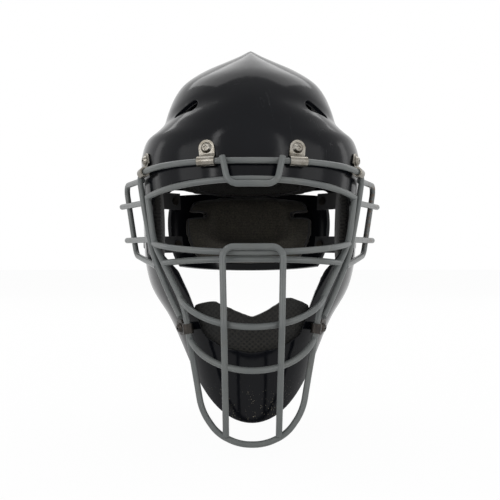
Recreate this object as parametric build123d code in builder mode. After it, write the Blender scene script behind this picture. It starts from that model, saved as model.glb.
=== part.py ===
from build123d import *
import os
from math import cos, exp, pi, radians, sin

# Baseball catcher helmet with its wire face cage
# Millimetres, +Z up, the face looks along -Y
# The origin is the centre of the head cavity on the ear line

os.makedirs("parts", exist_ok=True)

# Head form: one share is this long across, fore and aft, and up
half_width = 100
half_depth = 100
band_height = 100

# Walls and clearances
wall = 4
seat_gap = 0.3
overrun = 60

# Cage wire and its fixings
wire_radius = 2.6
clip_thickness = 1.4
clip_width = 13.5
clip_length = 15
clip_gap = 0.35
screw_radius = 2
screw_head_radius = 4.6
screw_head_height = 2.4
screw_hole_gap = 0.25
drive_width = 1.2
drive_depth = 1.1
nut_radius = 6.5
nut_flange = 1.4
nut_barrel_radius = 3.2
nut_lift = 0.5

# Soft parts
brow_pad_thickness = 12
crown_pad_thickness = 10
side_pad_thickness = 10
ear_pad_thickness = 9.5
jaw_pad_thickness = 14
chin_pad_thickness = 13
back_pad_thickness = 13
rear_pad_thickness = 10
pad_edge_share = 0.45

# Back plate suspension
strap_thickness = 2
strap_width = 17
rivet_radius = 1.8
rivet_head_radius = 4
rivet_head_height = 1.2

# Rows of the head form, from under the chin up to the crest line
# Each row: half width and its height, front reach and its height,
# back reach and its height, place of the widest point, fullness
form_shares = [
    (0.30, -1.92, 0.92, -1.92, 0.44, -1.92, -0.20, 0.26),
    (0.43, -1.57, 1.04, -1.57, 0.58, -1.57, -0.20, 0.28),
    (0.53, -1.22, 1.12, -1.22, 0.69, -1.22, -0.18, 0.30),
    (0.62, -0.90, 1.155, -0.90, 0.79, -0.90, -0.14, 0.31),
    (0.74, -0.62, 1.17, -0.62, 0.87, -0.62, -0.09, 0.26),
    (0.915, -0.37, 1.17, -0.37, 0.92, -0.37, 0.02, 0.08),
    (0.985, -0.12, 1.165, -0.12, 0.96, -0.12, 0.05, 0.13),
    (1.0, 0.17, 1.155, 0.17, 0.99, 0.17, 0.04, 0.21),
    (1.005, 0.44, 1.145, 0.44, 1.015, 0.44, 0.01, 0.24),
    (1.01, 0.67, 1.135, 0.66, 1.025, 0.67, -0.02, 0.26),
    (1.01, 0.84, 1.125, 0.83, 1.025, 0.85, -0.04, 0.23),
    (0.965, 0.99, 1.115, 0.965, 1.015, 0.985, -0.04, 0.19),
    (0.872, 1.073, 1.10, 1.06, 0.995, 1.08, -0.04, 0.17),
    (0.808, 1.15, 1.075, 1.155, 0.965, 1.18, -0.04, 0.14),
    (0.77, 1.265, 1.025, 1.275, 0.925, 1.30, -0.03, 0.08),
    (0.718, 1.395, 0.945, 1.40, 0.86, 1.415, -0.03, 0.0),
    (0.63, 1.52, 0.84, 1.525, 0.765, 1.53, -0.04, -0.09),
    (0.485, 1.625, 0.71, 1.625, 0.645, 1.625, -0.05, -0.20),
    (0.30, 1.705, 0.575, 1.71, 0.515, 1.70, -0.07, -0.30),
    (0.135, 1.775, 0.465, 1.77, 0.40, 1.755, -0.08, -0.40),
    (0, 1.84, 0.375, 1.805, 0.295, 1.79, -0.08, 0),
]
last_row = len(form_shares) - 1
form_steps = 50
form_columns = 25
probe_step = 0.01
patch_steps = 11

# Relief of the crown: a scooped channel over the brow band that carries
# the vents, and a shoulder over each channel, as shares of the reach
channel_depth = 0.03
channel_side_height = 1.15
channel_rise = 0.14
channel_spread = 0.075
shoulder_swell = 0.02
shoulder_height = 1.47
shoulder_spread = 0.10


def row_value(column, place):
    """One value of the head form between its rows, on a smooth curve."""
    place = max(0, min(last_row, place))
    low = min(last_row - 1, int(place))
    part = place - low
    a = form_shares[max(0, low - 1)][column]
    b = form_shares[low][column]
    c = form_shares[low + 1][column]
    d = form_shares[min(last_row, low + 2)][column]
    return (
        b
        + part * (c - a) / 2
        + part**2 * (2 * a - 5 * b + 4 * c - d) / 2
        + part**3 * (3 * b - a - 3 * c + d) / 2
    )


def outer_point(place, turn):
    """Point of the outer form, turned from the brow towards the back."""
    width, side_z, front, front_z, back, back_z, widest, full = (
        row_value(column, place) for column in range(8)
    )
    middle = (back - front) / 2
    side = sin(turn)
    ahead = cos(turn)
    x = width * side * (1 + full * ahead**2)
    y = middle - (front + back) / 2 * ahead + (widest - middle) * side**2
    end_z = front_z * (1 + ahead) / 2 + back_z * (1 - ahead) / 2
    z = side_z * side**2 + end_z * ahead**2
    channel_height = channel_side_height + channel_rise * ahead**2
    relief = (2 * side * ahead) ** 2 * (
        shoulder_swell * exp(-(((z - shoulder_height) / shoulder_spread) ** 2))
        - channel_depth * exp(-(((z - channel_height) / channel_spread) ** 2))
    )
    return Vector(x * (1 + relief) * half_width, y * (1 + relief) * half_depth, z * band_height)


def outward(place, turn):
    """Unit normal of the outer form."""
    low = max(0, place - probe_step)
    high = min(last_row, place + probe_step)
    if place > last_row - probe_step:
        high = last_row - probe_step
        low = high - probe_step
    along = outer_point(high, turn) - outer_point(low, turn)
    middle = (low + high) / 2
    around = outer_point(middle, turn + probe_step) - outer_point(middle, turn - probe_step)
    return around.cross(along).normalized()


def form_point(place, turn, inset=0):
    """Point of the form, moved inwards by the inset."""
    point = outer_point(place, turn)
    normal = outward(place, turn)
    if abs(sin(turn)) < probe_step or place > last_row - probe_step:
        flat = Vector(0, normal.Y, normal.Z)
        return Vector(0, point.Y, point.Z) - flat.normalized() * (inset / flat.length)
    return point - normal * inset


def place_at(height_share, turn):
    """Row place where the outer form reaches a height."""
    low, high = 0, last_row
    for _ in range(40):
        middle = (low + high) / 2
        if outer_point(middle, turn).Z < height_share * band_height:
            low = middle
        else:
            high = middle
    return low


def form_plane(height_share, turn_degrees, inset=0, side=1):
    """Plane lying on the form, its normal pointing out and its Y up."""
    turn = radians(turn_degrees)
    place = place_at(height_share, turn)
    point = form_point(place, turn, inset)
    normal = outward(place, turn)
    level = Vector(-normal.Y, normal.X, 0).normalized()
    if side < 0:
        point = Vector(-point.X, point.Y, point.Z)
        normal = Vector(-normal.X, normal.Y, normal.Z)
        level = Vector(-normal.Y, normal.X, 0).normalized()
    return Plane(origin=point, x_dir=level, z_dir=normal)


def half_form(inset):
    """Closed solid of the +X half of the form, inset by a wall."""
    grid = []
    for step in range(form_steps + 1):
        place = last_row * step / form_steps
        row = [form_point(place, pi * column / (form_columns - 1), inset) for column in range(form_columns)]
        if step == 0:
            row = [Vector(point.X, point.Y, form_shares[0][1] * band_height) for point in row]
        grid.append(row)
    skin = Face.make_surface_from_array_of_points(grid, tol=wall / 100)
    rim = [edge for edge in skin.edges() if edge.bounding_box().max.X > wall]
    middle = [edge for edge in skin.edges() if edge.bounding_box().max.X <= wall]
    base = Edge.make_line(grid[0][0], grid[0][-1])
    return Solid(Shell([skin, Face(Wire(middle + [base])), Face(Wire(rim + [base]))]))


def form_patch(low, high, start, end, near, thickness, edge_share=1, corner=0, side=1):
    """Curved slab on the inside of the form: low to high in heights, start to end in degrees.
    With an edge share it swells into a cushion, with a corner its outline is rounded."""
    faces = []
    middle_turn = radians(start + end) / 2
    middle_place = (place_at(low, middle_turn) + place_at(high, middle_turn)) / 2
    reach_place = (place_at(high, middle_turn) - place_at(low, middle_turn)) / 2
    reach_turn = radians(end - start) / 2
    grids = [[], []]
    for i in range(patch_steps):
        rows = [[], []]
        for j in range(patch_steps):
            u = 2 * i / (patch_steps - 1) - 1
            v = 2 * j / (patch_steps - 1) - 1
            place = middle_place + reach_place * u * (1 - corner * v**2 / 2) ** 0.5
            turn = middle_turn + reach_turn * v * (1 - corner * u**2 / 2) ** 0.5
            swell = edge_share + (1 - edge_share) * ((1 - u**4) * (1 - v**4)) ** 0.5
            for rows_side, inset in zip(rows, (near, near + thickness * swell)):
                point = form_point(place, turn, inset)
                rows_side.append(Vector(side * point.X, point.Y, point.Z))
        grids[0].append(rows[0])
        grids[1].append(rows[1])
    skins = [Face.make_surface_from_array_of_points(grid, tol=wall / 100) for grid in grids]
    faces.extend(skins)
    for edge in skins[0].edges():
        other = skins[1].edges().sort_by(lambda e: (e.center() - edge.center()).length)[0]
        faces.append(Face.make_surface_from_curves(edge, other))
    return Solid(Shell(faces))


def soft(low, high, start, end, near, thickness, corner, side=1):
    """A cushion lying on the inside of the form."""
    return form_patch(low, high, start, end, near, thickness, pad_edge_share, corner, side)


# Places of the fixings on the form: height share and turn in degrees
brow_fixing = (0.84, 17.8)
temple_fixing = (0.78, 57)
jaw_fixing = (-0.66, 47)
cage_fixings = [brow_fixing, temple_fixing, jaw_fixing]
strap_heights = [0.50, 0.05]
strap_front_turn = 88
strap_rear_turn = 134
strap_overlap_turn = 5

# Outlines as shares of the head sizes
trim_shares = [
    (-2.2, 2.6), (2.2, 2.6), (2.2, 0.62), (0.68, 0.62), (0.50, 0.40), (0.42, -0.29), (-0.14, -0.29),
    (-0.54, -0.65), (-0.90, -1.16), (-1.12, -1.49), (-2.2, -1.49),
]
chin_shares = [
    (-0.4, 2.6), (2, 2.6), (2, -0.9), (0.56, -0.99), (0.47, -1.12), (0.40, -1.22), (0.33, -1.31),
    (0.23, -1.40), (0.12, -1.455), (0, -1.475), (-0.4, -1.475),
]
opening_shares = [
    (-0.4, 0.60), (0.25, 0.60), (0.60, 0.57), (0.85, 0.48), (0.85, 0.05), (0.62, -0.18), (0.53, -0.36),
    (0.46, -0.53), (0.40, -0.70), (0.24, -0.80), (0, -0.84), (-0.4, -0.84),
]
notch_shares = [(-0.34, -0.30), (-0.30, -0.44), (0, -0.56), (0.30, -0.44), (0.34, -0.30)]
outline_radius = 12
opening_radius = 12

# Vents in the crown and sound slots in the ear flaps
vent_length = 24
vent_radius = 5.6
vent_tip_radius = 2.2
vent_lean = 17
front_vent_place = (1.205, 46)
rear_vent_place = (1.215, 136)
slot_length = 26
slot_width = 5
slot_lean = 68
slot_shares = [(-0.02, 0.28), (0.12, 0.24), (0.26, 0.20)]
plate_slot_length = 18
plate_slot_width = 9
plate_slot_place = (0.16, 165)
pad_slot_length = 22
pad_slot_width = 7
pad_slot_place = (0.36, 149)


def shares_to_points(shares, across, up):
    return [(first * across, second * up) for first, second in shares]


with BuildPart() as helmet_shell:
    add(half_form(0))
    add(half_form(wall), mode=Mode.SUBTRACT)
    with BuildSketch(Plane.YZ):
        with BuildLine():
            FilletPolyline(*shares_to_points(trim_shares, half_depth, band_height),
                           radius=outline_radius, close=True)
        make_face()
    extrude(amount=half_width + overrun, mode=Mode.INTERSECT)
    with BuildSketch(Plane.XZ):
        with BuildLine():
            FilletPolyline(*shares_to_points(chin_shares, half_width, band_height),
                           radius=outline_radius, close=True)
        make_face()
    extrude(amount=half_depth + overrun, both=True, mode=Mode.INTERSECT)
    with BuildSketch(Plane.XZ):
        with BuildLine():
            FilletPolyline(*shares_to_points(opening_shares, half_width, band_height),
                           radius=opening_radius, close=True)
        make_face()
    extrude(amount=half_depth + overrun, mode=Mode.SUBTRACT)
    for vent_place, sense in ((front_vent_place, -1), (rear_vent_place, 1)):
        with BuildSketch(form_plane(*vent_place).offset(-3 * wall)):
            with Locations(Location((0, 0), sense * vent_lean)):
                with BuildSketch(mode=Mode.PRIVATE) as drop:
                    with Locations((-sense * vent_length / 2, 0)):
                        Circle(vent_tip_radius)
                    with Locations((sense * vent_length / 2, 0)):
                        Circle(vent_radius)
                    make_hull()
                add(drop.sketch)
        extrude(amount=5 * wall, mode=Mode.SUBTRACT)
    with BuildSketch(Plane.YZ.offset(half_width - overrun)):
        for fore, up in slot_shares:
            with Locations(Location((fore * half_depth, up * band_height), slot_lean)):
                SlotOverall(slot_length, slot_width)
    extrude(amount=2 * overrun, mode=Mode.SUBTRACT)
    for fixing in cage_fixings:
        with Locations(form_plane(*fixing)):
            Cylinder(nut_barrel_radius + screw_hole_gap, 4 * wall, mode=Mode.SUBTRACT)
    for height in strap_heights:
        with Locations(form_plane(height, strap_front_turn)):
            Cylinder(rivet_radius + screw_hole_gap, 4 * wall, mode=Mode.SUBTRACT)
    mirror(about=Plane.YZ)
helmet_shell.part.label = "helmet_shell"
export_step(helmet_shell.part, "parts/helmet_shell.step")

# Back plate, hung on four elastic straps
plate_low, plate_high = -0.22, 0.60
plate_turn = 50
plate_corner = 0.45
with BuildPart() as back_plate:
    add(form_patch(plate_low, plate_high, 180 - plate_turn, 180 + plate_turn, 0, wall, 1, plate_corner))
    for side in (1, -1):
        with BuildSketch(form_plane(*plate_slot_place, side=side).offset(-2 * wall)):
            SlotOverall(plate_slot_length, plate_slot_width, rotation=90)
        extrude(amount=4 * wall, mode=Mode.SUBTRACT)
        for height in strap_heights:
            with Locations(form_plane(height, strap_rear_turn, side=side)):
                Cylinder(rivet_radius + screw_hole_gap, 4 * wall, mode=Mode.SUBTRACT)
back_plate.part.label = "back_plate"
export_step(back_plate.part, "parts/back_plate.step")

strap_near = wall + seat_gap
strap_clear = strap_near + strap_thickness + seat_gap
rivet_clear = strap_clear + rivet_head_height
pad_near = wall + seat_gap
strap_half_share = strap_width / 2 / band_height

for side, side_name in ((1, "left"), (-1, "right")):
    for height, height_name in zip(strap_heights, ("upper", "lower")):
        with BuildPart() as strap:
            add(form_patch(height - strap_half_share, height + strap_half_share,
                           strap_front_turn - strap_overlap_turn, strap_rear_turn + strap_overlap_turn,
                           strap_near, strap_thickness, side=side))
            for turn in (strap_front_turn, strap_rear_turn):
                with Locations(form_plane(height, turn, side=side)):
                    Cylinder(rivet_radius + screw_hole_gap, 6 * wall, mode=Mode.SUBTRACT)
        strap.part.label = f"{height_name}_strap_{side_name}"
        export_step(strap.part, f"parts/{height_name}_strap_{side_name}.step")

# Rivets: a head outside, the shank, and a head against the strap
rivet_reach = strap_near + strap_thickness + seat_gap
for turn, rivet_name in ((strap_front_turn, "strap_rivets_front"), (strap_rear_turn, "strap_rivets_rear")):
    with BuildPart() as rivets:
        for side in (1, -1):
            for height in strap_heights:
                with BuildSketch(form_plane(height, turn, side=side).offset(seat_gap / 3)):
                    Circle(rivet_head_radius)
                extrude(amount=rivet_head_height, taper=30)
                with BuildSketch(form_plane(height, turn, side=side).offset(seat_gap / 3)):
                    Circle(rivet_radius)
                extrude(amount=-rivet_reach - seat_gap / 3)
                with BuildSketch(form_plane(height, turn, side=side).offset(-rivet_reach)):
                    Circle(rivet_head_radius)
                extrude(amount=-rivet_head_height)
    rivets.part.label = rivet_name
    export_step(rivets.part, f"parts/{rivet_name}.step")


def cushion(name, low, high, start, end, near, thickness, corner, side=1, slots=False, notch=False):
    with BuildPart() as pad:
        add(soft(low, high, start, end, near, thickness, corner, side))
        if slots:
            for slot_side in (1, -1):
                with BuildSketch(form_plane(*pad_slot_place, side=slot_side).offset(wall)):
                    SlotOverall(pad_slot_length, pad_slot_width)
                extrude(amount=-overrun, mode=Mode.SUBTRACT)
        if notch:
            with BuildSketch(Plane.XZ):
                with BuildLine():
                    FilletPolyline(*shares_to_points(notch_shares, half_width, band_height),
                                   radius=outline_radius / 3, close=True)
                make_face()
            extrude(amount=half_depth + overrun, mode=Mode.SUBTRACT)
        for fixing in cage_fixings:
            for pocket_side in (1, -1):
                with BuildSketch(form_plane(*fixing, inset=wall, side=pocket_side)):
                    Circle(nut_radius + 3 * seat_gap)
                extrude(amount=-nut_flange - nut_lift - 2 * seat_gap, mode=Mode.SUBTRACT)
    pad.part.label = name
    export_step(pad.part, f"parts/{name}.step")


cushion("brow_pad", 0.66, 1.02, -40, 40, pad_near, brow_pad_thickness, 0.5)
cushion("crown_pad_front", 1.28, 1.66, -42, 42, pad_near, crown_pad_thickness, 0.6)
cushion("crown_pad_rear", 1.25, 1.66, 138, 222, pad_near, crown_pad_thickness, 0.6)
cushion("side_pad_left", 0.95, 1.45, 68, 112, pad_near, side_pad_thickness, 0.6)
cushion("side_pad_right", 0.95, 1.45, 68, 112, pad_near, side_pad_thickness, 0.6, side=-1)
cushion("ear_pad_left", -0.20, 0.68, 68, 101, rivet_clear, ear_pad_thickness, 0.5)
cushion("ear_pad_right", -0.20, 0.68, 68, 101, rivet_clear, ear_pad_thickness, 0.5, side=-1)
cushion("jaw_pad_left", -0.64, -0.22, 47, 70, pad_near, jaw_pad_thickness, 0.4)
cushion("jaw_pad_right", -0.64, -0.22, 47, 70, pad_near, jaw_pad_thickness, 0.4, side=-1)
cushion("chin_pad", -1.10, -0.42, -37, 37, pad_near, chin_pad_thickness, 0.4, notch=True)
cushion("rear_pad", 0.585, 1.12, 148, 212, pad_near, rear_pad_thickness, 0.5)
cushion("back_pad", -0.15, 0.555, 143, 217, pad_near, back_pad_thickness, 0.6, slots=True)

# Cage wires as shares of the head sizes, on the +X side
# The frame wire runs over the brow at a stand-off and turns down into the posts
frame_stand_off = wire_radius + clip_gap + clip_thickness + 6 * seat_gap
frame_turns_heights = [(0, 0.725), (10, 0.725), (24, 0.72), (38, 0.705), (49, 0.685), (59, 0.655)]
post_shares = [
    (0.928, -0.66, 0.33), (0.865, -0.74, 0.047), (0.828, -0.80, -0.076),
    (0.732, -0.89, -0.29), (0.664, -0.98, -0.422), (0.588, -1.09, -0.55),
]
eye_bar_shares = [(0.90, -0.70, 0.455), (0, -1.24, 0.575)]
lower_eye_bar_shares = [(0.84, -0.77, 0.055), (0, -1.36, -0.017)]
nose_bar_shares = [(0.74, -0.915, -0.11), (0, -1.30, -0.07)]
mouth_bar_shares = [(0.589, -1.08, -0.40), (0, -1.45, -0.60)]
lip_bar_shares = [(0.508, -1.12, -0.72), (0, -1.43, -0.944)]
brow_loop_shares = [(0.245, -1.222, 0.76), (0.195, -1.275, 0.535)]
centre_loop_shares = [(0.212, -1.265, -1.495), (0.225, -1.49, -0.60), (0.24, -1.41, 0.028)]
inner_rail_shares = [
    (0.90, -0.70, 0.47), (0.838, -0.78, 0.06), (0.725, -0.93, -0.142), (0.585, -1.08, -0.40),
    (0.535, -1.12, -0.565), (0.508, -1.13, -0.76), (0.454, -1.16, -1.05), (0.41, -1.20, -1.30),
    (0.28, -1.24, -1.48), (0.10, -1.265, -1.56),
]
ear_loop_shares = [(0.955, -0.61, 0.61), (1.165, -0.09, 0.60), (1.06, -0.14, -0.05), (0.805, -0.825, -0.14)]
upper_stub_shares = [(0.94, -0.64, 0.41), (1.22, 0.05, 0.41)]
lower_stub_shares = [(0.875, -0.725, 0.09), (1.165, 0, 0.09)]
corner_radius = 9
bend_share = 0.45


def place_points(shares, side=1):
    return [Vector(side * x * half_width, y * half_depth, z * band_height) for x, y, z in shares]


def frame_points(side=1):
    points = []
    for turn, height in frame_turns_heights:
        point = form_point(place_at(height, radians(turn)), radians(turn), -frame_stand_off)
        points.append(Vector(side * point.X, point.Y, point.Z))
    return points


def bow(shares):
    """Arc of a cage bar from the far side, through the front, to the near side."""
    end, front = place_points(shares)
    far = Vector(-end.X, end.Y, end.Z)
    return Edge.make_three_point_arc(far, front, end)


def bends(points, sharpest=None):
    """Bend radii of a polyline: wide where the runs allow, or no wider than the sharpest."""
    radii = []
    for before, corner, after in zip(points, points[1:], points[2:]):
        coming, going = corner - before, after - corner
        half_turn = radians(coming.get_angle(going)) / 2
        widest = bend_share * min(coming.length, going.length) * cos(half_turn) / sin(half_turn)
        radii.append(min(widest, sharpest) if sharpest else widest)
    return radii


def wire(points=None, sharpest=None, edge=None):
    """A round wire along a line with rounded corners, joined to the part in work."""
    with BuildLine() as path:
        if edge is not None:
            add(edge)
        elif len(points) > 2:
            FilletPolyline(*points, radius=bends(points, sharpest))
        else:
            Line(*points)
    with BuildSketch(Plane(origin=path.line @ 0, z_dir=path.line % 0)) as section:
        Circle(wire_radius)
    sweep(sections=section.sketch, path=path.line)


with BuildPart() as cage:
    for bar_shares in (eye_bar_shares, lower_eye_bar_shares, nose_bar_shares, mouth_bar_shares, lip_bar_shares):
        wire(edge=bow(bar_shares))
    wire(place_points(post_shares, -1)[::-1] + frame_points(-1)[:0:-1] + frame_points()
         + place_points(post_shares))
    wire(place_points(inner_rail_shares) + place_points(inner_rail_shares, -1)[::-1])
    wire(place_points(brow_loop_shares) + place_points(brow_loop_shares, -1)[::-1], corner_radius)
    wire(place_points(centre_loop_shares) + place_points(centre_loop_shares, -1)[::-1], corner_radius)
    for side in (1, -1):
        wire(place_points(ear_loop_shares, side), corner_radius)
        wire(place_points(upper_stub_shares, side))
        wire(place_points(lower_stub_shares, side))
cage.part.label = "face_cage"
export_step(cage.part, "parts/face_cage.step")

# Clips: a ring round the wire, a neck and a tab screwed to the shell
ring_radius = wire_radius + clip_gap + clip_thickness
tab_lift = seat_gap
neck_share = 0.9
jaw_clip_length = 8


def clip(fixing, seat, direction, length, side):
    seat_plane = form_plane(*fixing, side=side)
    toward = seat - seat_plane.origin
    flat = toward - seat_plane.z_dir * toward.dot(seat_plane.z_dir)
    tab_plane = Plane(origin=seat_plane.origin, x_dir=flat.cross(seat_plane.z_dir).normalized(),
                      z_dir=seat_plane.z_dir).offset(tab_lift)
    with BuildPart() as piece:
        with BuildSketch(Plane(origin=seat - direction * length / 2, z_dir=direction)):
            Circle(ring_radius)
        extrude(amount=length)
        with BuildSketch(tab_plane):
            Circle(clip_width / 2)
            with Locations((0, clip_width / 4)):
                Rectangle(clip_width, clip_width / 2)
        extrude(amount=clip_thickness)
        tab_end = tab_plane.origin + tab_plane.y_dir * clip_width / 2 + tab_plane.z_dir * clip_thickness / 2
        run = seat - tab_end
        run = run - direction * run.dot(direction)
        neck_end = seat - run.normalized() * (wire_radius + clip_gap + clip_thickness / 2)
        neck_start = tab_end - tab_plane.y_dir * clip_thickness
        rise = (neck_end - neck_start).normalized()
        with BuildSketch(Plane(origin=neck_start, x_dir=tab_plane.x_dir, z_dir=rise)):
            Rectangle(length * neck_share, clip_thickness)
        with BuildSketch(Plane(origin=neck_end, x_dir=direction, z_dir=rise)):
            Rectangle(length * neck_share, clip_thickness)
        loft()
        with BuildSketch(Plane(origin=seat - direction * length, z_dir=direction)):
            Circle(wire_radius + clip_gap)
        extrude(amount=2 * length, mode=Mode.SUBTRACT)
        with Locations(tab_plane):
            Cylinder(screw_radius + screw_hole_gap, 4 * wall, mode=Mode.SUBTRACT)
    return piece


def run_seat(points, first, share):
    """Seat on the straight run after a path point, with the run's direction."""
    start, end = points[first], points[first + 1]
    return start + (end - start) * share, (end - start).normalized()


for side, side_name in ((1, "left"), (-1, "right")):
    seats = [
        run_seat(frame_points(side), 1, 0.5) + (clip_length,),
        run_seat(frame_points(side), 4, 0.42) + (clip_length * 0.6,),
        run_seat(place_points(inner_rail_shares, side), 4, 0.4) + (jaw_clip_length,),
    ]
    for fixing, (seat, direction, length), clip_name in zip(cage_fixings, seats, ("brow", "temple", "jaw")):
        piece = clip(fixing, seat, direction, length, side)
        piece.part.label = f"{clip_name}_clip_{side_name}"
        export_step(piece.part, f"parts/{clip_name}_clip_{side_name}.step")

# Dome screws through the tabs, and the tee nuts behind the shell
screw_lift = tab_lift + clip_thickness + seat_gap / 3
screw_reach = screw_lift + wall + nut_lift + nut_flange
with BuildPart() as clip_screws:
    for side in (1, -1):
        for fixing in cage_fixings:
            with BuildSketch(form_plane(*fixing, side=side).offset(screw_lift)):
                Circle(screw_head_radius)
            extrude(amount=screw_head_height, taper=35)
            with BuildSketch(form_plane(*fixing, side=side).offset(screw_lift)):
                Circle(screw_radius)
            extrude(amount=-screw_reach)
            with BuildSketch(form_plane(*fixing, side=side).offset(screw_lift + screw_head_height)):
                Rectangle(screw_radius * 2, drive_width)
                Rectangle(drive_width, screw_radius * 2)
            extrude(amount=-drive_depth, mode=Mode.SUBTRACT)
clip_screws.part.label = "clip_screws"
export_step(clip_screws.part, "parts/clip_screws.step")

with BuildPart() as tee_nuts:
    for side in (1, -1):
        for fixing in cage_fixings:
            with BuildSketch(form_plane(*fixing, side=side).offset(-wall - nut_lift)):
                Circle(nut_radius)
                Circle(screw_radius + screw_hole_gap, mode=Mode.SUBTRACT)
            extrude(amount=-nut_flange)
            with BuildSketch(form_plane(*fixing, side=side).offset(-wall - nut_lift)):
                Circle(nut_barrel_radius)
                Circle(screw_radius + screw_hole_gap, mode=Mode.SUBTRACT)
            extrude(amount=wall * 0.8)
tee_nuts.part.label = "tee_nuts"
export_step(tee_nuts.part, "parts/tee_nuts.step")
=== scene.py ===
import math

import bmesh
import bpy
import numpy as np
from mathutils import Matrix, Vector


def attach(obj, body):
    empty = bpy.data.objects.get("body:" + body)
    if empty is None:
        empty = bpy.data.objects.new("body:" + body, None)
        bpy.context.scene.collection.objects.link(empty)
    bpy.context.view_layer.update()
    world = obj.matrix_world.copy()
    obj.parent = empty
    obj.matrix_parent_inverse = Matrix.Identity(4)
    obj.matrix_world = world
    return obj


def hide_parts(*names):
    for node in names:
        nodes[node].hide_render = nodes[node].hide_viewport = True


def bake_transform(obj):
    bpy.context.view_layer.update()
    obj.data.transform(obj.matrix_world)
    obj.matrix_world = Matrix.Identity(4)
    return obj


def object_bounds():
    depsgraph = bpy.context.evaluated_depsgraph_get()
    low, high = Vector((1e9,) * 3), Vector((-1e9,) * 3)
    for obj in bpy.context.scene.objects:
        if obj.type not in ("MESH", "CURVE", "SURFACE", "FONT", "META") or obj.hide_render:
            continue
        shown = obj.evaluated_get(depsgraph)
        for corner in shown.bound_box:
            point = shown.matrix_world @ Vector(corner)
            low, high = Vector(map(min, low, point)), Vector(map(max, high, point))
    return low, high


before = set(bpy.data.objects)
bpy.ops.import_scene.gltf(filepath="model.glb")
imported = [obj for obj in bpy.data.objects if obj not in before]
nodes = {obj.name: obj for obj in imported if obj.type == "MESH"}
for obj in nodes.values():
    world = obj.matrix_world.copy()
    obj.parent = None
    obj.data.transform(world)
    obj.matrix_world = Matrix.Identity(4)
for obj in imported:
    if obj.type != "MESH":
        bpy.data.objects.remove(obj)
cad_box = [list(corner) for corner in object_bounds()]
scene = bpy.context.scene

# Camera: level with the ear line, a little to the helmet's right
AZIMUTH = math.radians(-0.9)
DISTANCE = 0.8
FOCAL_PX = 840
IMAGE_PX = 500
SENSOR_MM = 36
camera_data = bpy.data.cameras.new("camera")
camera = bpy.data.objects.new("camera", camera_data)
scene.collection.objects.link(camera)
camera.location = (DISTANCE * math.sin(AZIMUTH), -DISTANCE * math.cos(AZIMUTH), 0)
camera.rotation_euler = (math.pi / 2, 0, AZIMUTH)
camera_data.sensor_width = SENSOR_MM
camera_data.lens = SENSOR_MM * FOCAL_PX / IMAGE_PX
scene.camera = camera
scene.view_settings.view_transform = "Standard"


# Materials: a noise is given as its scale per metre, detail and roughness,
# and a range as the values that become 0 and 1, with other results after them

HEAD_RADIUS = 0.1
BEVEL_SAMPLES = 6


class Nodes:
    """Short calls for making and joining the nodes of one shader tree."""

    def __init__(self, tree):
        self.tree = tree

    def node(self, kind, **settings):
        made = self.tree.nodes.new(kind)
        for key, value in settings.items():
            setattr(made, key, value)
        return made

    def link(self, source, target):
        if isinstance(source, (int, float)):
            target.default_value = source
        elif isinstance(source, tuple):
            opaque = (1,) * (len(target.default_value) - len(source))
            target.default_value = source + opaque
        else:
            self.tree.links.new(source, target)

    def math(self, operation, a, b=0.0):
        made = self.node("ShaderNodeMath", operation=operation)
        self.link(a, made.inputs[0])
        self.link(b, made.inputs[1])
        return made.outputs[0]

    def times(self, a, b):
        return self.math("MULTIPLY", a, b)

    def plus(self, a, b):
        return self.math("ADD", a, b)

    def ramp(self, source, low, high, out_low=0.0, out_high=1.0):
        made = self.node("ShaderNodeMapRange")
        made.inputs["From Min"].default_value = low
        made.inputs["From Max"].default_value = high
        made.inputs["To Min"].default_value = out_low
        made.inputs["To Max"].default_value = out_high
        self.link(source, made.inputs["Value"])
        return made.outputs["Result"]

    def seen(self):
        """1 for rays of the camera, of gloss and of glass, and 0 for those that light the object."""
        rays = self.node("ShaderNodeLightPath")
        through = self.math("MAXIMUM", rays.outputs["Is Glossy Ray"], rays.outputs["Is Transmission Ray"])
        return self.math("MAXIMUM", rays.outputs["Is Camera Ray"], through)


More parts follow.
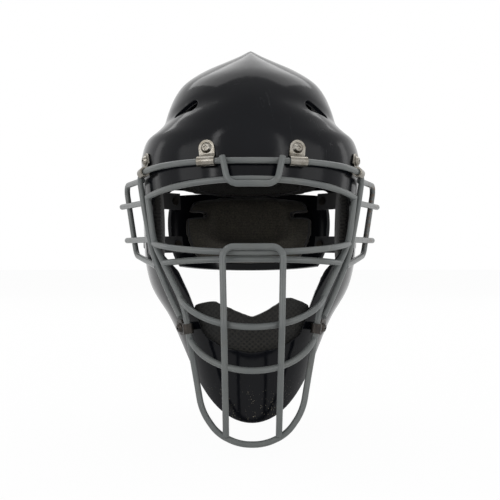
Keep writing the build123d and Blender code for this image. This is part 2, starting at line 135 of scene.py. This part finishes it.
class Surface(Nodes):
    """A material with a principled shader, and patterns laid out in the object's own frame."""

    def __init__(self, name):
        self.material = bpy.data.materials.new(name)
        self.material.use_nodes = True
        super().__init__(self.material.node_tree)
        self.shader = self.tree.nodes["Principled BSDF"]
        self.place = self.node("ShaderNodeTexCoord").outputs["Object"]

    def noise(self, scale, detail, rough, place=None, distortion=0):
        made = self.node("ShaderNodeTexNoise")
        made.inputs["Scale"].default_value = scale
        made.inputs["Detail"].default_value = detail
        made.inputs["Roughness"].default_value = rough
        made.inputs["Distortion"].default_value = distortion
        self.link(place or self.place, made.inputs["Vector"])
        return made.outputs["Fac"]

    def cells(self, scale, place=None, random=1.0):
        made = self.node("ShaderNodeTexVoronoi")
        made.inputs["Scale"].default_value = scale
        made.inputs["Randomness"].default_value = random
        self.link(place or self.place, made.inputs["Vector"])
        return made.outputs["Distance"]

    def waves(self, scale, direction, distortion=0):
        made = self.node("ShaderNodeTexWave", bands_direction=direction)
        made.inputs["Scale"].default_value = scale
        made.inputs["Distortion"].default_value = distortion
        self.link(self.place, made.inputs["Vector"])
        return made.outputs["Fac"]

    def stretch(self, x, y, z):
        made = self.node("ShaderNodeMapping")
        made.inputs["Scale"].default_value = (x, y, z)
        self.link(self.place, made.inputs["Vector"])
        return made.outputs["Vector"]

    def lattice(self):
        """A diamond grid wrapped round the head: arc plus height and arc minus height."""
        x, y, z = self.axis(0), self.axis(1), self.axis(2)
        arc = self.times(self.math("ARCTAN2", x, self.times(y, -1.0)), HEAD_RADIUS)
        made = self.node("ShaderNodeCombineXYZ")
        self.link(self.plus(arc, z), made.inputs[0])
        self.link(self.math("SUBTRACT", arc, z), made.inputs[1])
        return made.outputs[0]

    def mix(self, share, a, b):
        made = self.node("ShaderNodeMix", data_type="RGBA")
        self.link(share, made.inputs["Factor"])
        self.link(a, made.inputs["A"])
        self.link(b, made.inputs["B"])
        return made.outputs["Result"]

    def axis(self, which):
        split = self.node("ShaderNodeSeparateXYZ")
        self.link(self.place, split.inputs[0])
        return split.outputs[which]

    def bump(self, height, strength, distance, normal=None):
        made = self.node("ShaderNodeBump")
        made.inputs["Strength"].default_value = strength
        made.inputs["Distance"].default_value = distance
        self.link(height, made.inputs["Height"])
        if normal is not None:
            self.link(normal, made.inputs["Normal"])
        return made.outputs["Normal"]

    def round_edges(self, radius):
        made = self.node("ShaderNodeBevel", samples=BEVEL_SAMPLES)
        made.inputs["Radius"].default_value = radius
        return made.outputs["Normal"]

    def set(self, **values):
        for key, value in values.items():
            self.link(value, self.shader.inputs[key.replace("_", " ")])
        return self.material


# Shell and back plate
HAZE = (9, 4, 0.6)
HAZE_RANGE = (0.3, 0.75)
BLACK_DEEP, BLACK_HAZY = (0.003, 0.0034, 0.005), (0.0055, 0.006, 0.008)
RUBBED = (0.07, 0.072, 0.075)
RUBS = (60, 6, 0.75)
RUB_STRETCH, RUB_WARP = (1, 1, 0.18), 1.2
RUB_RANGE, RUB_HAZE = (0.66, 0.74), (0.45, 0.62)
LINES = (46, 2, 0.5)
LINE_STRETCH, LINE_WARP = (1.0, 0.6, 0.22), 2.5
LINE_MIDDLE, LINE_HALF = 0.5, 0.003
LINE_PATCHES, LINE_PATCH_RANGE = (24, 2, 0.5), (0.56, 0.66)
RUB_SHARE, LINE_SHARE, MARK_ROUGH = 0.35, 0.8, 0.3
DUST = (0.34, 0.31, 0.23)
DUST_SCALE, DUST_SIZES, DUST_SIZE_RANGE = 620, (210, 2, 0.5), (0.45, 0.75, 0.10, 0.30)
DUST_HEIGHTS = (-0.100, -0.140)
DUST_PATCHES, DUST_PATCH_RANGE = (70, 3, 0.6), (0.46, 0.58)
DUST_SHARE, DUST_ROUGH = 0.9, 0.6
PEEL, PEEL_STRENGTH, PEEL_DEPTH = (260, 2, 0.4), 0.04, 0.0004
SHELL_ROUGH = (0.3, 0.7, 0.10, 0.2)
SHELL_EDGE, SHELL_IOR, SHELL_SPECULAR = 0.0014, 1.5, 0.145


def shell_material(name, chin_dust):
    """Gloss black moulding with haze, rub marks, fine scratches and dust low on the chin."""
    m = Surface(name)
    haze = m.noise(*HAZE)
    rubs = m.ramp(m.noise(*RUBS, m.stretch(*RUB_STRETCH), RUB_WARP), *RUB_RANGE)
    rubs = m.times(rubs, m.ramp(haze, *RUB_HAZE))
    lines = m.noise(*LINES, m.stretch(*LINE_STRETCH), LINE_WARP)
    below = m.ramp(lines, LINE_MIDDLE - LINE_HALF, LINE_MIDDLE)
    above = m.ramp(lines, LINE_MIDDLE + LINE_HALF, LINE_MIDDLE)
    scratches = m.times(m.times(below, above), m.ramp(m.noise(*LINE_PATCHES), *LINE_PATCH_RANGE))
    marks = m.math("MAXIMUM", m.times(rubs, RUB_SHARE), m.times(scratches, LINE_SHARE))
    colour = m.mix(m.ramp(haze, *HAZE_RANGE), BLACK_DEEP, BLACK_HAZY)
    colour = m.mix(marks, colour, RUBBED)
    rough = m.ramp(haze, *SHELL_ROUGH)
    if chin_dust:
        size = m.ramp(m.noise(*DUST_SIZES), *DUST_SIZE_RANGE)
        dots = m.math("LESS_THAN", m.cells(DUST_SCALE), size)
        low = m.ramp(m.axis(2), *DUST_HEIGHTS)
        patches = m.ramp(m.noise(*DUST_PATCHES), *DUST_PATCH_RANGE)
        dust = m.times(m.times(dots, low), patches)
        colour = m.mix(m.times(dust, DUST_SHARE), colour, DUST)
        rough = m.plus(rough, m.times(dust, DUST_ROUGH))
    rough = m.plus(rough, m.times(marks, MARK_ROUGH))
    normal = m.bump(m.noise(*PEEL), PEEL_STRENGTH, PEEL_DEPTH, m.round_edges(SHELL_EDGE))
    return m.set(Base_Color=colour, Roughness=rough, Normal=normal, IOR=SHELL_IOR,
                 Specular_IOR_Level=SHELL_SPECULAR)


# Face cage
COAT_TONE, COAT_TONE_RANGE = (22, 4, 0.65), (0.3, 0.7)
COAT_DARK, COAT_LIGHT = (0.098, 0.108, 0.109), (0.135, 0.143, 0.138)
GRIME, GRIMES, GRIME_RANGE, GRIME_SHARE = (0.095, 0.09, 0.072), (75, 5, 0.7), (0.58, 0.70), 0.4
RUST, RUSTS, RUST_RANGE, RUST_SHARE = (0.16, 0.088, 0.05), (230, 4, 0.7), (0.53, 0.63), 0.75
RUST_REACH, RUST_ROUGH, RUST_SWELL = (0.104, 0.112), 0.3, 0.8
CHIP, CHIPS, CHIP_RANGE, CHIP_SHARE = (0.33, 0.34, 0.33), (260, 3, 0.6), (0.70, 0.74), 0.5
COAT_GRAIN, COAT_STRENGTH, COAT_DEPTH = (520, 3, 0.6), 0.16, 0.0003
COAT_ROUGH, COAT_EDGE, COAT_IOR = (0.3, 0.7, 0.26, 0.38), 0.0012, 1.48


def cage_material():
    """Satin grey vinyl coat, grimy in patches and rusting where the ear loops are chipped."""
    m = Surface("satin_grey_coat")
    tone = m.noise(*COAT_TONE)
    colour = m.mix(m.ramp(tone, *COAT_TONE_RANGE), COAT_DARK, COAT_LIGHT)
    grime = m.ramp(m.noise(*GRIMES), *GRIME_RANGE)
    colour = m.mix(m.times(grime, GRIME_SHARE), colour, GRIME)
    rust = m.times(m.ramp(m.axis(0), *RUST_REACH), m.ramp(m.noise(*RUSTS), *RUST_RANGE))
    colour = m.mix(m.times(rust, RUST_SHARE), colour, RUST)
    chips = m.ramp(m.noise(*CHIPS), *CHIP_RANGE)
    colour = m.mix(m.times(chips, CHIP_SHARE), colour, CHIP)
    rough = m.plus(m.ramp(tone, *COAT_ROUGH), m.times(rust, RUST_ROUGH))
    height = m.plus(m.noise(*COAT_GRAIN), m.times(rust, RUST_SWELL))
    normal = m.bump(height, COAT_STRENGTH, COAT_DEPTH, m.round_edges(COAT_EDGE))
    return m.set(Base_Color=colour, Roughness=rough, Normal=normal, IOR=COAT_IOR)


# Clips, screws, nuts and rivets
STAIN, STAIN_RANGE, STAIN_ROUGH = (120, 5, 0.7), (0.35, 0.7), (0.3, 0.7)
BRUSHED, BRUSH_STRETCH = (900, 2, 0.5), (1, 1, 6)
BRUSH_STRENGTH, BRUSH_DEPTH, METAL_EDGE = 0.08, 0.0002, 0.0005
NICKEL, NICKEL_STAINED = (0.28, 0.265, 0.238), (0.13, 0.115, 0.09)
BLACKENED, BLACKENED_WORN = (0.03, 0.028, 0.027), (0.06, 0.052, 0.045)


def metal_material(name, clean, stained, rough_low, rough_high):
    m = Surface(name)
    stain = m.noise(*STAIN)
    colour = m.mix(m.ramp(stain, *STAIN_RANGE), clean, stained)
    rough = m.ramp(stain, *STAIN_ROUGH, rough_low, rough_high)
    brushed = m.noise(*BRUSHED, m.stretch(*BRUSH_STRETCH))
    normal = m.bump(brushed, BRUSH_STRENGTH, BRUSH_DEPTH, m.round_edges(METAL_EDGE))
    return m.set(Base_Color=colour, Metallic=1.0, Roughness=rough, Normal=normal)


# Pads
HOLE_RANGE, HOLE_RANDOM, HOLE_DARKNESS = (0.2, 0.46), 0.15, 0.25
MESH_TONE, MESH_TONE_RANGE, MESH_ROUGH = (18, 4, 0.6), (0.35, 0.68), (0.3, 0.7, 0.8, 0.95)
MESH_FUZZ, MESH_FUZZ_SHARE, MESH_STRENGTH, MESH_DEPTH = (900, 3, 0.7), 0.3, 0.6, 0.0006
MESH_SHEEN_ROUGH = 0.4
SPACER_DARK, SPACER_LIGHT = (0.010, 0.010, 0.010), (0.026, 0.0245, 0.021)
SPACER_HOLES, SPACER_SHEEN = 300, 0.25
CHIN_DARK, CHIN_LIGHT = (0.004, 0.004, 0.0037), (0.021, 0.0195, 0.016)
CHIN_HOLES, CHIN_SHEEN = 240, 0.1


def mesh_fabric(name, dark, light, hole_scale, sheen):
    """Spacer mesh with rows of holes on a diamond grid."""
    m = Surface(name)
    weave = m.ramp(m.cells(hole_scale, m.lattice(), HOLE_RANDOM), *HOLE_RANGE)
    tone = m.noise(*MESH_TONE)
    yarn = m.mix(m.ramp(tone, *MESH_TONE_RANGE), dark, light)
    colour = m.mix(weave, tuple(c * HOLE_DARKNESS for c in dark), yarn)
    height = m.plus(weave, m.times(m.noise(*MESH_FUZZ), MESH_FUZZ_SHARE))
    return m.set(Base_Color=colour, Roughness=m.ramp(tone, *MESH_ROUGH),
                 Normal=m.bump(height, MESH_STRENGTH, MESH_DEPTH),
                 Sheen_Weight=sheen, Sheen_Roughness=MESH_SHEEN_ROUGH)


KNIT_ROWS, KNIT_WARP, KNIT_ROW_SHARE = 190, 1.5, 0.5
KNIT_FUZZ, KNIT_FUZZ_RANGE, KNIT_SHADE = (700, 4, 0.7), (0.35, 0.65), 0.6
KNIT_TONE, KNIT_TONE_RANGE = (14, 5, 0.6), (0.3, 0.7)
KNIT_STRENGTH, KNIT_DEPTH, KNIT_ROUGH = 0.45, 0.0005, 0.92
KNIT_SHEEN, KNIT_SHEEN_ROUGH = 0.3, 0.5
KNIT_DARK, KNIT_LIGHT = (0.024, 0.021, 0.015), (0.072, 0.063, 0.046)


def knit_material():
    """Brown-black knit of the back pad, in level rows."""
    m = Surface("brown_black_knit")
    fuzz = m.noise(*KNIT_FUZZ)
    colour = m.mix(m.ramp(m.noise(*KNIT_TONE), *KNIT_TONE_RANGE), KNIT_DARK, KNIT_LIGHT)
    colour = m.mix(m.ramp(fuzz, *KNIT_FUZZ_RANGE), tuple(c * KNIT_SHADE for c in KNIT_DARK), colour)
    height = m.plus(m.times(m.waves(KNIT_ROWS, "Z", KNIT_WARP), KNIT_ROW_SHARE), fuzz)
    return m.set(Base_Color=colour, Roughness=KNIT_ROUGH, Normal=m.bump(height, KNIT_STRENGTH, KNIT_DEPTH),
                 Sheen_Weight=KNIT_SHEEN, Sheen_Roughness=KNIT_SHEEN_ROUGH)


# Straps and the cord round the pads
RIBS, CROSS_RIBS = 260, 320
WEB_STRENGTH, WEB_DEPTH, WEB_ROUGH, WEB_SHEEN = 0.5, 0.0005, 0.8, 0.15
WEB_DARK, WEB_LIGHT = (0.006, 0.006, 0.007), (0.028, 0.028, 0.03)
CORD_FUZZ, CORD_RANGE = (800, 3, 0.6), (0.35, 0.65)
CORD_STRENGTH, CORD_DEPTH, CORD_ROUGH, CORD_SHEEN = 0.4, 0.0004, 0.75, 0.2
CORD_DARK, CORD_LIGHT = (0.006, 0.006, 0.007), (0.02, 0.02, 0.021)


def webbing_material():
    m = Surface("woven_elastic")
    height = m.times(m.waves(RIBS, "Z"), m.waves(CROSS_RIBS, "Y"))
    colour = m.mix(height, WEB_DARK, WEB_LIGHT)
    return m.set(Base_Color=colour, Roughness=WEB_ROUGH, Normal=m.bump(height, WEB_STRENGTH, WEB_DEPTH),
                 Sheen_Weight=WEB_SHEEN)


def binding_material():
    m = Surface("edge_binding")
    fuzz = m.noise(*CORD_FUZZ)
    colour = m.mix(m.ramp(fuzz, *CORD_RANGE), CORD_DARK, CORD_LIGHT)
    return m.set(Base_Color=colour, Roughness=CORD_ROUGH, Normal=m.bump(fuzz, CORD_STRENGTH, CORD_DEPTH),
                 Sheen_Weight=CORD_SHEEN)


shell_black = shell_material("gloss_black_shell", True)
plate_black = shell_material("gloss_black_plate", False)
cage_grey = cage_material()
nickel = metal_material("nickel_plate", NICKEL, NICKEL_STAINED, 0.16, 0.34)
nickel_screw = metal_material("nickel_screw", NICKEL, NICKEL_STAINED, 0.12, 0.26)
blackened = metal_material("blackened_clip", BLACKENED, BLACKENED_WORN, 0.3, 0.5)
pad_mesh = mesh_fabric("black_spacer_mesh", SPACER_DARK, SPACER_LIGHT, SPACER_HOLES, SPACER_SHEEN)
chin_mesh = mesh_fabric("coarse_chin_mesh", CHIN_DARK, CHIN_LIGHT, CHIN_HOLES, CHIN_SHEEN)
pad_knit = knit_material()
webbing = webbing_material()
binding = binding_material()


def dress(obj, material):
    obj.data.materials.clear()
    obj.data.materials.append(material)


def dress_upper_and_jaw(obj, upper, jaw):
    """The fixings above the ear line are bright and those at the jaw are blackened."""
    obj.data.materials.clear()
    for material in (upper, jaw):
        obj.data.materials.append(material)
    for polygon in obj.data.polygons:
        polygon.material_index = 0 if polygon.center.z > 0 else 1


for name, node in nodes.items():
    if name == "helmet_shell":
        dress(node, shell_black)
    elif name == "back_plate":
        dress(node, plate_black)
    elif name == "face_cage":
        dress(node, cage_grey)
    elif name.startswith("jaw_clip"):
        dress(node, blackened)
    elif "_clip_" in name:
        dress(node, nickel)
    elif name in ("clip_screws", "tee_nuts"):
        dress_upper_and_jaw(node, nickel_screw, blackened)
    elif name.startswith("strap_rivets"):
        dress(node, blackened)
    elif "_strap_" in name:
        dress(node, webbing)
    else:
        dress(node, pad_mesh)


# Helpers

WELD = 1e-5
NOWHERE = 1e-9


def link(name, data):
    obj = bpy.data.objects.new(name, data)
    scene.collection.objects.link(obj)
    return obj


def apply_all(obj):
    graph = bpy.context.evaluated_depsgraph_get()
    mesh = bpy.data.meshes.new_from_object(obj.evaluated_get(graph))
    obj.modifiers.clear()
    old = obj.data
    obj.data = mesh
    if not old.users:
        bpy.data.meshes.remove(old)


def coordinates(mesh):
    flat = np.empty(len(mesh.vertices) * 3)
    mesh.vertices.foreach_get("co", flat)
    return flat.reshape(-1, 3)


def normals(mesh):
    flat = np.empty(len(mesh.vertices) * 3)
    mesh.vertices.foreach_get("normal", flat)
    return flat.reshape(-1, 3)


def put_coordinates(mesh, points):
    mesh.vertices.foreach_set("co", np.ascontiguousarray(points, dtype=float).ravel())
    mesh.update()


# Soft pads: each CAD cushion is remeshed, shaped, blown up as cloth and piped along its inner edge

HEAD_CENTRE = Vector((0, 0, 0.05))
HEAD_FLATTEN = 0.3
PAD_BODIES = {"back_pad": "back_unit"}
PAD_FABRICS = {"back_pad": pad_knit, "chin_pad": chin_mesh}
PAD_VOXEL = 0.0026
PAD_SMOOTHING = 3
PAD_REFILL = 0.0007
PAD_FRAMES = 12
PAD_PRESSURE = 4
PAD_QUALITY = 4
PAD_SWELL = 0.0014
PIPING_RADIUS = 0.0009
PIPING_RESOLUTION = 2
FACING_GAIN = 2
SHARP_EDGE = 0.5
FACES_HEAD = 0.55


def inward(points):
    """Unit directions from the points towards the head."""
    toward = np.array(HEAD_CENTRE) - points
    toward[:, 2] *= HEAD_FLATTEN
    return toward / np.linalg.norm(toward, axis=1)[:, None]


def across_and_up(points):
    """Places on a pad from -1 to 1: across it, and up it."""
    low, high = points.min(axis=0), points.max(axis=0)
    middle, half = (low + high) / 2, (high - low) / 2
    return (points[:, 0] - middle[0]) / half[0], (points[:, 2] - middle[2]) / half[2]


def bell(value, middle, spread):
    return np.exp(-(((value - middle) / spread) ** 2))


def bowl_rim(u, v, height=0.0045, centre=0.25, reach=0.72, spread=0.13, top=0.75, fade=0.5):
    """The back pad's raised U-shaped rim round its hollow."""
    distance = (np.abs(u) ** 3 + np.abs(v - centre) ** 3) ** (1 / 3)
    return height * bell(distance, reach, spread) * np.clip((top - v) / fade, 0, 1)


def chin_folds(u, v, fold=0.0007, pace=16, sway=1.5, turns=4, middle=-0.1, spread=0.7, fuller=0.0012):
    """The chin pad sags into level folds, and its left half stands fuller."""
    folds = np.sin(v * pace + sway * np.sin(u * turns)) * bell(v, middle, spread)
    return fold * folds + fuller * np.clip(u, 0, 1)


def jaw_scallops(u, v, wave=0.0009, pace=9.5):
    """Stitched waves along the edge of a jaw pad."""
    return wave * np.sin(v * pace)


SURFACES = {"back_pad": bowl_rim, "chin_pad": chin_folds,
            "jaw_pad_left": jaw_scallops, "jaw_pad_right": jaw_scallops}


def shape_surface(pad, height):
    """Lifts the side of a pad that faces the head."""
    points = coordinates(pad.data)
    toward = inward(points)
    facing = np.clip((normals(pad.data) * toward).sum(axis=1) * FACING_GAIN, 0, 1)
    lift = height(*across_and_up(points)) * facing
    put_coordinates(pad.data, points + toward * lift[:, None])


def raise_hump(points, height=0.0035, centre=0.55, spread=0.25, foot=0.35):
    """The chin pad's left hump stands higher than its right one."""
    u, v = across_and_up(points)
    top = np.clip((v - foot) / (1 - foot), 0, 1)
    points[:, 2] += top * height * bell(u, centre, spread)


def lower_hem(points, drop=0.004, wrap=1.28, spread=0.06):
    """The rear pad wraps round the head, and its hem hangs over the seam between shell and back plate."""
    u, v = across_and_up(points)
    points[:, 2] -= np.clip(-v, 0, 1) * drop * (1 - u**2 + np.abs(u) ** 3)
    turn = np.arctan2(points[:, 0], points[:, 1]) * wrap
    reach = np.hypot(points[:, 0], points[:, 1]) * (1 + spread * turn**2)
    points[:, 0] = reach * np.sin(turn)
    points[:, 1] = reach * np.cos(turn)


OUTLINES = {"chin_pad": raise_hump, "rear_pad": lower_hem}


def blow_up(pad):
    start = coordinates(pad.data)
    cloth = pad.modifiers.new("cloth", "CLOTH")
    cloth.settings.quality = PAD_QUALITY
    cloth.settings.use_pressure = True
    cloth.settings.uniform_pressure_force = PAD_PRESSURE
    cloth.settings.effector_weights.gravity = 0
    cloth.point_cache.frame_start = 1
    cloth.point_cache.frame_end = PAD_FRAMES
    for step in range(1, PAD_FRAMES + 1):
        scene.frame_set(step)
    apply_all(pad)
    scene.frame_set(1)
    shift = coordinates(pad.data) - start
    size = np.linalg.norm(shift, axis=1)
    shift *= np.minimum(1, PAD_SWELL / np.maximum(size, NOWHERE))[:, None]
    put_coordinates(pad.data, start + shift)


def meets_head(face):
    toward = HEAD_CENTRE - face.calc_center_median()
    toward.z *= HEAD_FLATTEN
    return face.normal.dot(toward.normalized()) > FACES_HEAD


def rim_of(name):
    """The line where the CAD cushion's face towards the head meets its sides."""
    work = bmesh.new()
    work.from_mesh(nodes[name].data)
    bmesh.ops.remove_doubles(work, verts=work.verts, dist=WELD)
    spare = [edge for edge in work.edges
             if len(edge.link_faces) != 2 or edge.calc_face_angle() < SHARP_EDGE
             or meets_head(edge.link_faces[0]) == meets_head(edge.link_faces[1])]
    bmesh.ops.delete(work, geom=spare, context="EDGES_FACES")
    bmesh.ops.delete(work, geom=[v for v in work.verts if not v.link_edges], context="VERTS")
    mesh = bpy.data.meshes.new(name + "_piping")
    work.to_mesh(mesh)
    work.free()
    return mesh


def piping(name, pad):
    """Corded edge round the face that meets the head."""
    rim = rim_of(name)
    if not rim.edges:
        return
    line = link(name + "_piping", rim)
    wrap = line.modifiers.new("wrap", "SHRINKWRAP")
    wrap.target = pad
    apply_all(line)
    bpy.ops.object.select_all(action="DESELECT")
    line.select_set(True)
    bpy.context.view_layer.objects.active = line
    bpy.ops.object.convert(target="CURVE")
    line.data.bevel_depth = PIPING_RADIUS
    line.data.bevel_resolution = PIPING_RESOLUTION
    bpy.ops.object.convert(target="MESH")
    line.data.shade_smooth()
    dress(line, binding)
    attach(line, PAD_BODIES.get(name, "helmet"))


def make_pad(name):
    pad = link(name + "_cover", nodes[name].data.copy())
    remesh = pad.modifiers.new("remesh", "REMESH")
    remesh.mode = "VOXEL"
    remesh.voxel_size = PAD_VOXEL
    smooth = pad.modifiers.new("smooth", "SMOOTH")
    smooth.iterations = PAD_SMOOTHING
    apply_all(pad)
    put_coordinates(pad.data, coordinates(pad.data) + PAD_REFILL * normals(pad.data))
    if name in SURFACES:
        shape_surface(pad, SURFACES[name])
    if name in OUTLINES:
        points = coordinates(pad.data)
        OUTLINES[name](points)
        put_coordinates(pad.data, points)
    blow_up(pad)
    finer = pad.modifiers.new("finer", "SUBSURF")
    finer.levels = finer.render_levels = 1
    apply_all(pad)
    pad.data.shade_smooth()
    dress(pad, PAD_FABRICS.get(name, pad_mesh))
    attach(pad, PAD_BODIES.get(name, "helmet"))
    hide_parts(name)
    piping(name, pad)


for name in [n for n in nodes if "_pad" in n]:
    make_pad(name)


# Elastic straps: sliced across at even steps, between the helmet and the back plate

STRAP_START = 0.014
STRAP_END = 0.056
STRAP_SLICE = 0.003
STRAP_SHARP = math.radians(40)


def make_strap(name):
    work = bmesh.new()
    work.from_mesh(nodes[name].data)
    bmesh.ops.remove_doubles(work, verts=work.verts, dist=WELD)
    place = STRAP_START
    while place < STRAP_END:
        bmesh.ops.bisect_plane(work, geom=work.verts[:] + work.edges[:] + work.faces[:],
                               plane_co=(0, place, 0), plane_no=(0, 1, 0))
        place += STRAP_SLICE
    mesh = bpy.data.meshes.new(name + "_webbing")
    work.to_mesh(mesh)
    work.free()
    strap = link(name + "_webbing", mesh)
    mesh.shade_smooth()
    mesh.set_sharp_from_angle(angle=STRAP_SHARP)
    dress(strap, webbing)
    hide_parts(name)
    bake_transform(strap)


for name in [n for n in nodes if "_strap_" in n]:
    make_strap(name)


# Stage: the floor shows white and keeps some of the object's shadow

FLOOR_REACH = 6
FLOOR_GAP = 0.0005
FLOOR_GRAIN = (40, 3, 0.5)
FLOOR_DARK, FLOOR_LIGHT = (0.78, 0.78, 0.78), (0.82, 0.82, 0.82)
FLOOR_ROUGH = 0.9
FLOOR_WHITENESS = 0.96
WORLD_LIGHT = 0.5
WORLD_SEEN = 1.0


def stage():
    low = cad_box[0][2] - FLOOR_GAP
    corners = [(x, y, low) for x, y in ((-1, -1), (1, -1), (1, 1), (-1, 1))]
    mesh = bpy.data.meshes.new("floor")
    mesh.from_pydata([(x * FLOOR_REACH, y * FLOOR_REACH, z) for x, y, z in corners], [], [(0, 1, 2, 3)])
    floor = link("floor", mesh)
    m = Surface("pale_floor")
    m.set(Base_Color=m.mix(m.noise(*FLOOR_GRAIN), FLOOR_DARK, FLOOR_LIGHT), Roughness=FLOOR_ROUGH)
    mixer = m.node("ShaderNodeMixShader")
    m.link(m.times(m.seen(), FLOOR_WHITENESS), mixer.inputs[0])
    m.link(m.shader.outputs[0], mixer.inputs[1])
    m.link(m.node("ShaderNodeEmission").outputs[0], mixer.inputs[2])
    m.link(mixer.outputs[0], m.tree.nodes["Material Output"].inputs["Surface"])
    dress(floor, m.material)


def surround():
    """The world is white where it is seen, and a softer light on the object."""
    world = bpy.data.worlds.new("world")
    scene.world = world
    world.use_nodes = True
    w = Nodes(world.node_tree)
    background = w.tree.nodes["Background"]
    w.link((1, 1, 1, 1), background.inputs["Color"])
    w.link(w.ramp(w.seen(), 0, 1, WORLD_LIGHT, WORLD_SEEN), background.inputs["Strength"])


LAMP_TARGET = Vector((0, 0, 0.02))
LAMPS = [  # name as the camera sees it, place, size, watts, seen in reflections
    ("over_and_behind", (0, 0.7, 1.6), (2.4, 1.6), 22, True),
    ("front_left", (-0.9, -1.6, 0.5), (0.16, 0.9), 3, True),
    ("front_right", (0.75, -1.7, 0.35), (0.12, 0.7), 2, True),
    ("left_fill", (-1.7, -1.3, 0.3), (1.0, 1.2), 7, True),
    ("right_fill", (1.7, -1.3, 0.3), (1.0, 1.2), 6, True),
    ("left_side", (-1.9, 0.6, 0.5), (0.4, 1.0), 2, True),
    ("right_side", (1.9, 0.6, 0.45), (0.4, 1.0), 2, True),
    ("rear_left_fill", (-1.3, 1.6, 0.5), (1.0, 1.2), 5, False),
    ("rear_right_fill", (1.3, 1.6, 0.5), (1.0, 1.2), 5, False),
]


def lamp(name, place, size, power, glossy):
    data = bpy.data.lights.new(name, "AREA")
    data.shape = "RECTANGLE"
    data.size, data.size_y = size
    data.energy = power
    obj = link(name, data)
    obj.location = place
    obj.visible_glossy = glossy
    obj.rotation_euler = (LAMP_TARGET - Vector(place)).to_track_quat("-Z", "Y").to_euler()


stage()
surround()
for row in LAMPS:
    lamp(*row)
